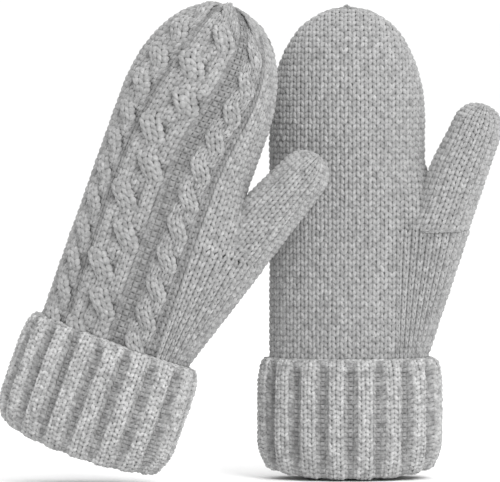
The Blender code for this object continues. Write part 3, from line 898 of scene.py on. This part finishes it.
def build_thumb(mitten, material, seam_material, backing_material):
    """The thumb's knit and the layer under it, and the yarn that links it on."""
    face, length = thumb_face(mitten)
    girth = 2 * math.pi * THUMB_TIP_RADIUS
    wale = girth / THUMB_WALES
    knitting = Knitting(mitten)
    rows = np.arange(0.4, length / THUMB_ROW - 0.5)

    def keep(points):
        return mitten.outside_hand(points) > CLEAR_OF_HAND

    for index in range(THUMB_WALES):
        middle = (index + 0.5) * wale - girth / 2

        def centre(height, middle=middle):
            return middle + 0 * height

        def width(height):
            return wale + 0 * height

        def raised(height, off, middle=middle):
            past_cap = height - length + 9 * MM
            to_crease = np.hypot((middle + off + 0.17 * girth) / (2.2 * MM), past_cap / (6 * MM))
            level = 0.35 * MM - 0.5 * MM * smooth(past_cap / (9 * MM))
            return level - 1.5 * MM * np.exp(-(to_crease**2)) + rounded(off, wale, 0.9 * MM)

        plain_wale(knitting, face, rows, THUMB_ROW, centre, width, raised, keep)
    thumb_knit = knitting.finish(f"{mitten.side}_thumb_knit", material, None)

    def surface(turn, share, lift):
        return face.wrap((turn - 0.5) * girth, share * length, np.full(len(turn), lift))

    name = f"{mitten.side}_thumb_backing"
    thumb_backing = backing(mitten, name, surface, 40, 44, THUMB_BACKING, backing_material, None)

    lean = np.array((math.sin(THUMB_LEAN), 0, math.cos(THUMB_LEAN)))
    start = Vector(mitten.place(mitten.pivot - lean * 24 * MM))
    end = Vector(mitten.place(mitten.pivot + lean * 10 * MM))
    for piece in (thumb_knit, thumb_backing):
        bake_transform(piece)
    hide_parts(f"{mitten.side}_thumb_shell")

    seam = Knitting(mitten)
    angles = np.linspace(-math.pi, math.pi, 61)[:-1]
    path = []
    for angle in angles:
        heights = np.linspace(0.3 * MM, length * 0.75, 240)
        points = face.wrap(np.full(240, angle / math.pi * girth / 2), heights, np.full(240, -0.6 * MM))
        clear = np.nonzero(mitten.outside_hand(points) > 0.3 * MM)[0]
        path.append(points[clear[0]] if len(clear) else points[-1])
    path = np.array(path)
    for _ in range(2):
        path = (np.roll(path, 1, 0) + 2 * path + np.roll(path, -1, 0)) / 4
    chain_of_yarn(seam, path, 2.6 * MM, 0.95 * MM, path.mean(0))
    thumb_seam = seam.finish(f"{mitten.side}_thumb_linking", seam_material, f"{mitten.side}_hand")
    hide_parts(f"{mitten.side}_thumb_seam")


def chain_of_yarn(knitting, path, pitch, radius, middle):
    """A closed chain of slanting stitches along a loop of points."""
    closed = np.concatenate((path, path[:1]))
    walk = walked_along(closed)
    count = int(walk[-1] / pitch)
    wanted = np.arange(count) * walk[-1] / count
    centres = np.stack([np.interp(wanted, walk, closed[:, axis]) for axis in range(3)], -1)
    ahead = np.roll(centres, -1, 0) - np.roll(centres, 1, 0)
    ahead /= np.linalg.norm(ahead, axis=-1, keepdims=True)
    out = centres - middle
    out -= ahead * (out * ahead).sum(-1, keepdims=True)
    out /= np.linalg.norm(out, axis=-1, keepdims=True)
    beside = np.cross(ahead, out)
    x, y, z = LEG_BALL[0].T
    for side in (-1, 1):
        forward = 0.75 * pitch * z
        sideways = side * radius * (0.2 + 0.55 * (z + 1) / 2) + 0.55 * radius * x
        outward = radius * 0.8 * y + 0.3 * radius * (1 - z**2)
        placed = (
            centres[:, None]
            + ahead[:, None] * forward[None, :, None]
            + beside[:, None] * sideways[None, :, None]
            + out[:, None] * outward[None, :, None]
        )
        knitting.add(LEG_BALL, placed, spread_shade(count))


# ---- the cuff ----


# From inside the fold, round it, up the outer face and into the free edge.
TURNED_PROFILE = MM * np.array((
    (10.2, 12), (10.2, 7), (9.2, 2.2), (7.2, 0.2), (5.3, 1.7), (3.9, 4.8), (2.5, 8.5), (1.3, 13),
    (0.5, 20), (0.2, 32), (0.3, 46), (0.9, 55), (1.9, 60.5), (3.8, 64.6), (5.6, 64.2), (6.2, 58),
))
WRIST_PROFILE = MM * np.array(((7.6, 9.5), (7.6, 59)))


def rib_level(across, period, depth):
    """Lift of a two-by-two rib: a rounded double wale, then a furrow."""
    phase = (across / period + 0.5) % 1 - 0.5
    furrow = smooth((np.abs(phase) - 0.23) / 0.14)
    return depth * (0.12 * np.cos(np.pi * phase / 0.6) - furrow)


def build_ribbing(mitten, name, profile, depth, row_height, materials, body, turned):
    """A band of two-by-two rib round the cuff, with a layer under it. A rib's sides are half wales."""
    face, length, girth = cuff_face(profile)
    period = girth / CUFF_RIBS
    knitting = Knitting(mitten)
    rows = np.arange(0.5, length / row_height - 0.9)
    knit_wale = RIB_KNIT_WALE * period
    purl_wale_width = RIB_PURL_WALE * period
    side_wale = 0.9 * knit_wale
    side_offset = 1.42 * knit_wale

    def strength(height):
        """The ribs flatten where the layer folds under and where its free edge curls in."""
        if not turned:
            return np.ones_like(height)
        folded = 0.08 + 0.92 * smooth((height - 15 * MM) / (14 * MM))
        return folded * (1 - 0.9 * smooth((height - length + 14 * MM) / (6 * MM)))

    def raised_at(middle):
        def raised(height, off):
            wave = 0.25 * MM * np.sin(height / (11 * MM) + middle * 400)
            return rib_level(middle + off, period, depth) * strength(height) + wave
        return raised

    for rib in range(CUFF_RIBS):
        rib_middle = (rib + 0.5) * period - girth / 2
        lean = rng.uniform(-0.25, 0.25) * MM

        # The rib's side half wales and the purl furrow are darkened with painted shade.
        for kind, offset, wale, extra in (
            (plain_wale, -0.5 * knit_wale, knit_wale, {}),
            (plain_wale, 0.5 * knit_wale, knit_wale, {}),
            (plain_wale, -side_offset, side_wale, {"sides": (1,), "tone": SIDE_PAINTED_SHADE}),
            (plain_wale, side_offset, side_wale, {"sides": (-1,), "tone": SIDE_PAINTED_SHADE}),
            (purl_wale, 0.5 * period, purl_wale_width, {"tone": FURROW_PAINTED_SHADE}),
        ):
            middle = rib_middle + offset

            def centre(height, middle=middle, lean=lean):
                at = middle + lean * np.sin(height / (21 * MM) + middle * 90)
                return (at + girth / 2) % girth - girth / 2 + 0 * height

            def width(height, wale=wale):
                return wale + 0 * height

            kind(knitting, face, rows, row_height, centre, width, raised_at(middle - rib_middle), **extra)
    piece = knitting.finish(f"{mitten.side}_{name}", materials["cuff"], body)

    def surface(turn, share, lift):
        across = (turn - 0.5) * girth
        level = rib_level(across - 0.5 * period, period, depth) * strength(share * length)
        return face.wrap(across, share * length, lift + level)

    under_name = f"{mitten.side}_{name}_backing"
    under = backing(mitten, under_name, surface, CUFF_RIBS * 10, 36, RIB_BACKING, materials["backing"], body)
    return piece


def oval_loop(depth, height):
    """A level loop round the cuff, so far below its face."""
    count = 200
    angle = np.linspace(0, 2 * math.pi, count + 1)[:-1]
    normal = np.stack((np.cos(angle) / CUFF_HALF_WIDTH, np.sin(angle) / CUFF_HALF_DEPTH), -1)
    normal /= np.linalg.norm(normal, axis=-1, keepdims=True)
    oval = np.stack((CUFF_HALF_WIDTH * np.cos(angle), CUFF_HALF_DEPTH * np.sin(angle)), -1)
    flat = oval - normal * depth
    return np.concatenate((flat, np.full((count, 1), height)), -1)


def build_edges(mitten, yarn, fleece):
    """The bound-off chain on the cuff, the overcast hem of the lining, and the gathered tip."""
    edge = Knitting(mitten)
    chain_of_yarn(edge, oval_loop(6.1 * MM, 63.6 * MM), 3.6 * MM, 1.1 * MM, np.array((0, 0, 20 * MM)))
    piece = edge.finish(f"{mitten.side}_bound_edge", yarn, f"{mitten.side}_cuff")
    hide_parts(f"{mitten.side}_cuff_edge")

    hem = Knitting(mitten)
    chain_of_yarn(hem, oval_loop(15.6 * MM, 20.6 * MM), 2.4 * MM, 1.5 * MM, np.array((0, 0, 60 * MM)))
    piece = hem.finish(f"{mitten.side}_overcast_hem", fleece, f"{mitten.side}_hand")
    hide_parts(f"{mitten.side}_lining_hem")

    gather = Knitting(mitten)
    angle = np.linspace(0, 2 * math.pi, 41)[:-1]
    ring = np.stack((HAND_OFFSET + 2.4 * MM * np.cos(angle), 2.0 * MM * np.sin(angle)), -1)
    loop = np.concatenate((ring, np.full((40, 1), HAND_TOP - 1.3 * MM)), -1)
    chain_of_yarn(gather, loop, 1.9 * MM, 1.0 * MM, np.array((HAND_OFFSET, 0, HAND_TOP - 20 * MM)))
    piece = gather.finish(f"{mitten.side}_gathered_tip", yarn, f"{mitten.side}_hand")
    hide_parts(f"{mitten.side}_tip_gather")


def build_mitten(mitten, materials):
    side = mitten.side
    palm = build_palm(mitten).finish(f"{side}_palm_knit", materials["hand"], f"{side}_hand")
    ground, cables = build_back(mitten)
    back = ground.finish(f"{side}_back_knit", materials["hand"], f"{side}_hand")
    raised = cables.finish(f"{side}_back_cables", materials["hand"], f"{side}_hand")
    under = hand_backing(mitten, materials["backing"], materials["fleece"], f"{side}_hand")
    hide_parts(f"{side}_hand_shell")
    build_thumb(mitten, materials["hand"], materials["seam"], materials["backing"])
    turned = build_ribbing(
        mitten, "turned_rib", TURNED_PROFILE, TURNED_RIB_DEPTH, CUFF_ROW, materials, f"{side}_cuff", True,
    )
    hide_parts(f"{side}_turned_cuff")
    wrist = build_ribbing(
        mitten, "wrist_knit", WRIST_PROFILE, WRIST_RIB_DEPTH, ROW, materials, f"{side}_hand", False,
    )
    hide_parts(f"{side}_wrist_rib")
    build_edges(mitten, materials["cuff"], materials["fleece"])
    for node in ("thumb_lining", "wrist_lining"):
        lining = frame["nodes"][f"{side}_{node}"]
        lining.data.materials.clear()
        lining.data.materials.append(materials["fleece"])


# ---- studio ----


def build_floor():
    """A wide flat white floor. The studio round it is just as white, so no edge shows from any side."""
    floor = bmesh.new()
    bmesh.ops.create_grid(floor, x_segments=1, y_segments=1, size=FLOOR_HALF_WIDTH)
    bmesh.ops.translate(floor, verts=floor.verts, vec=(0, 0, -FLOOR_DROP))
    mesh = bpy.data.meshes.new("floor")
    floor.to_mesh(mesh)
    floor.free()
    make_piece("floor", mesh, studio_white("floor_white", 0.95), None)


def aim(thing, target):
    thing.rotation_euler = (target - thing.location).to_track_quat("-Z", "Y").to_euler()


def build_light(name, location, size, power, target):
    lamp = bpy.data.lights.new(name, "AREA")
    lamp.shape = "SQUARE"
    lamp.size = size
    lamp.energy = power
    piece = bpy.data.objects.new(name, lamp)
    piece.location = location
    bpy.context.scene.collection.objects.link(piece)
    aim(piece, target)


def build_studio(right):
    scene = bpy.context.scene
    scene.view_settings.view_transform = "Standard"
    world = bpy.data.worlds.new("studio")
    scene.world = world
    world.use_nodes = True
    world.node_tree.nodes["Background"].inputs["Color"].default_value = (1, 1, 1, 1)
    world.node_tree.nodes["Background"].inputs["Strength"].default_value = 1.08

    target = Vector(right.origin) + Vector((-53.4 * MM, 0, 126.6 * MM))
    build_light("key", target + Vector((0.8, -1.3, 1.0)), 0.9, 22, target)
    build_light("fill", target + Vector((-1.2, -1.4, 0.4)), 1.2, 1, target)
    build_light("top", target + Vector((0.1, 0.1, 1.6)), 1.6, 6, target)

    camera = bpy.data.cameras.new("camera")
    camera.lens = CAMERA_LENS
    camera.sensor_width = 36
    distance = PICTURE_WIDTH * camera.lens / camera.sensor_width
    piece = bpy.data.objects.new("camera", camera)
    towards = Vector((0, -math.cos(CAMERA_ELEVATION), math.sin(CAMERA_ELEVATION)))
    piece.location = target + towards * distance
    aim(piece, target)
    scene.collection.objects.link(piece)
    scene.camera = piece


def main():
    materials = {
        "hand": yarn_material("hand_heather_yarn", 0.278, 0.065),
        "cuff": yarn_material("cuff_heather_yarn", 0.345, 0.11),
        "seam": yarn_material("seam_heather_yarn", 0.31, 0.05),
        "backing": yarn_material("backing_yarn", 0.27, 0.05),
        "fleece": fleece_material("brushed_fleece", 0.42),
    }
    right = Mitten("right", thumb_drop=0.0, thumb_offset=12 * MM)
    left = Mitten("left", thumb_drop=7 * MM, thumb_offset=4 * MM)
    for mitten in (right, left):
        build_mitten(mitten, materials)
    build_floor()
    build_studio(right)


main()
bpy.context.view_layer.update()
